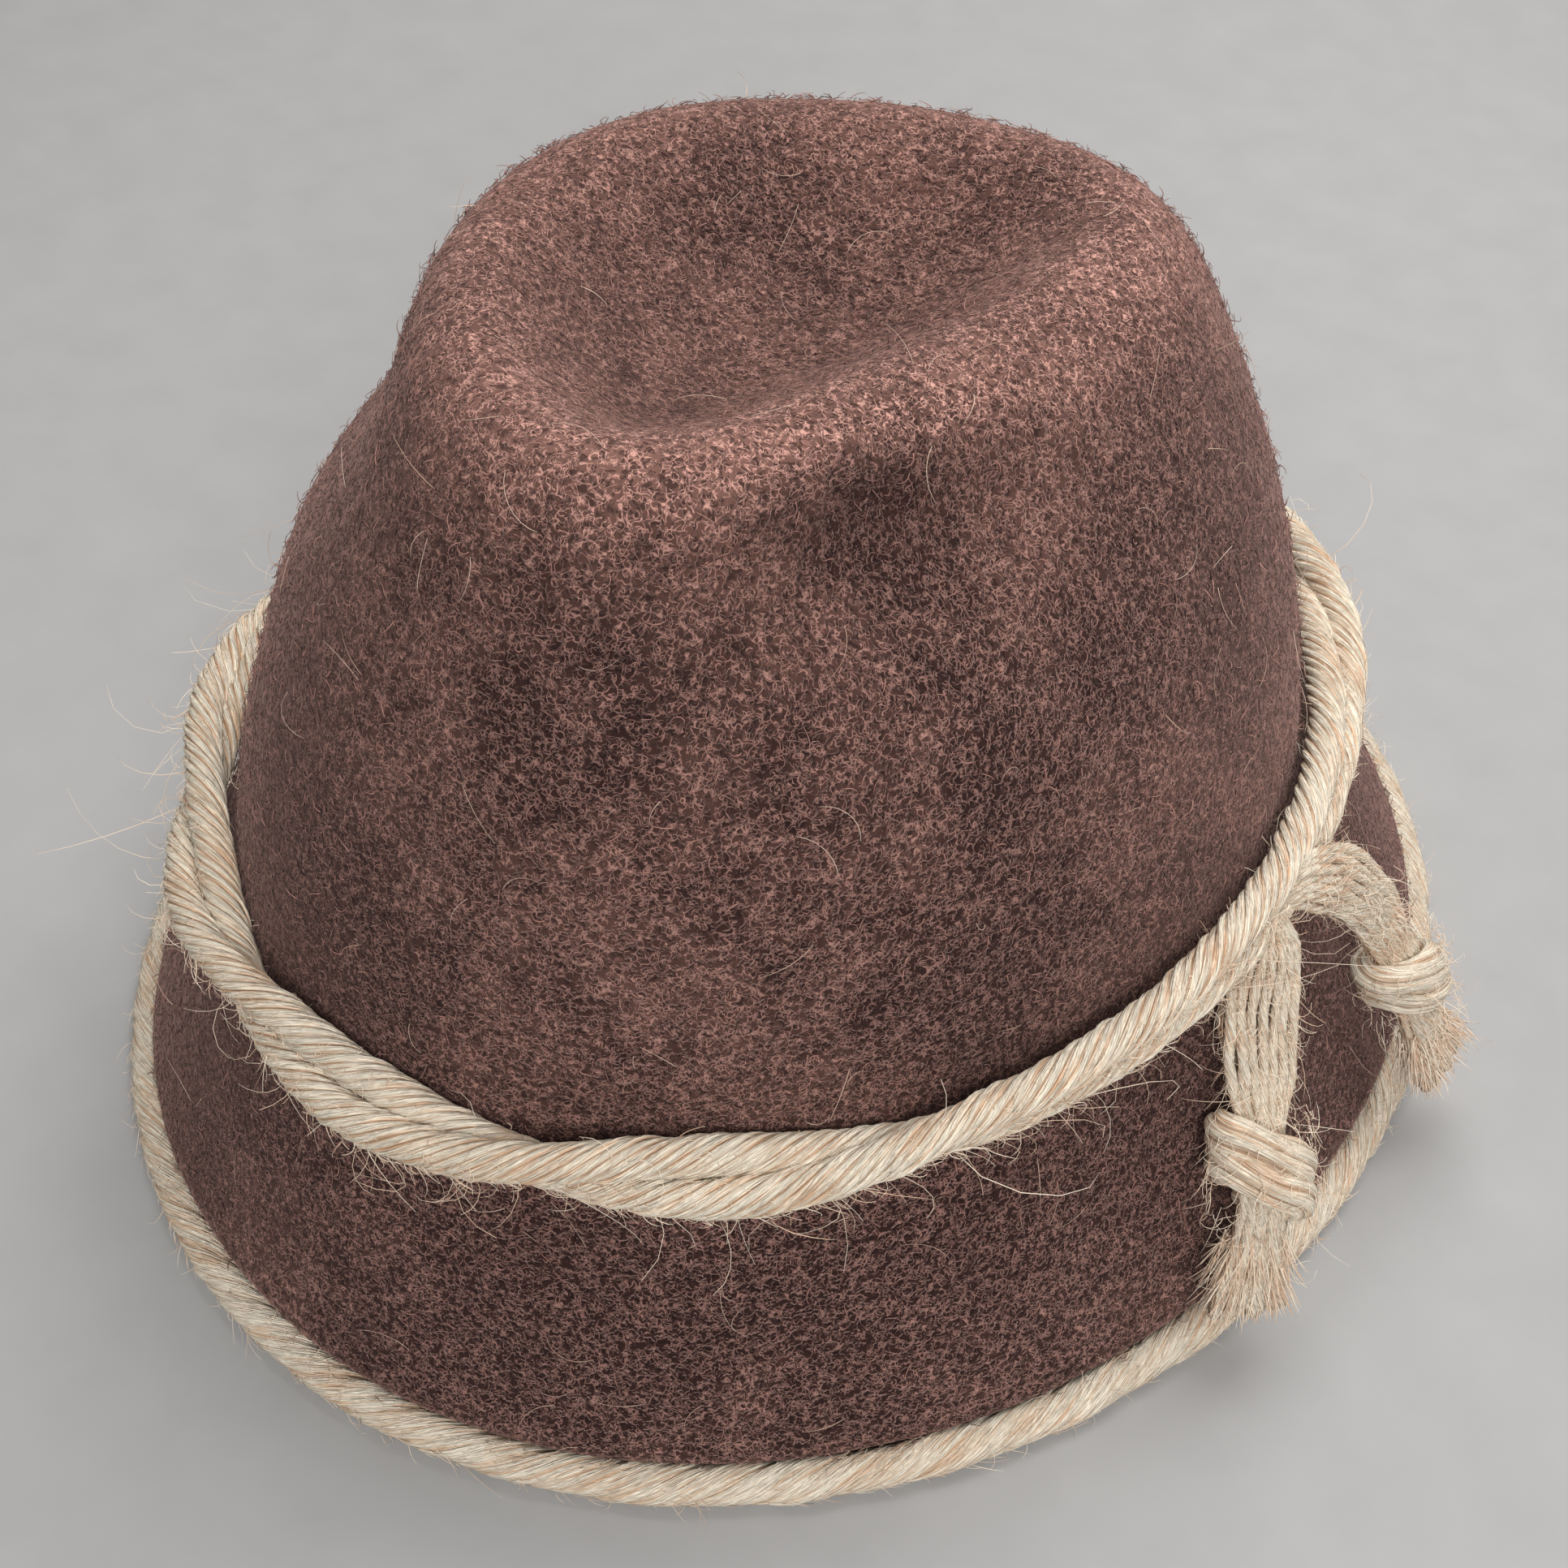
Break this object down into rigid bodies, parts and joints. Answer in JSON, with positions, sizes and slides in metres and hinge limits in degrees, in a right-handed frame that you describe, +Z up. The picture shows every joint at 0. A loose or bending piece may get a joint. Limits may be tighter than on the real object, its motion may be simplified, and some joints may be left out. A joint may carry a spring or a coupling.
{
  "type": "felt hat",
  "caption": "Felt hat with a tapered creased crown, a steep bell brim, a twisted jute rope band with two knotted frayed ends, and a jute cord along the brim's edge.",
  "frame": {"origin": "on the surface that the hat rests on, under the middle of the brim", "axes": "+Z up, -Y towards the front of the hat, +X towards the wearer's left"},
  "size_m": [0.2497, 0.2746, 0.1643],
  "materials": {
    "felt": "hairy brown wool felt",
    "jute": "pale twisted jute yarn"
  },
  "bodies": {
    "root": {"hat_body": "felt", "band_rope": "jute", "brim_cord": "jute", "rope_end_front": "jute", "knot_front": "jute", "frayed_end_front": "jute", "rope_end_back": "jute", "knot_back": "jute", "frayed_end_back": "jute"}
  },
  "joints": []
}
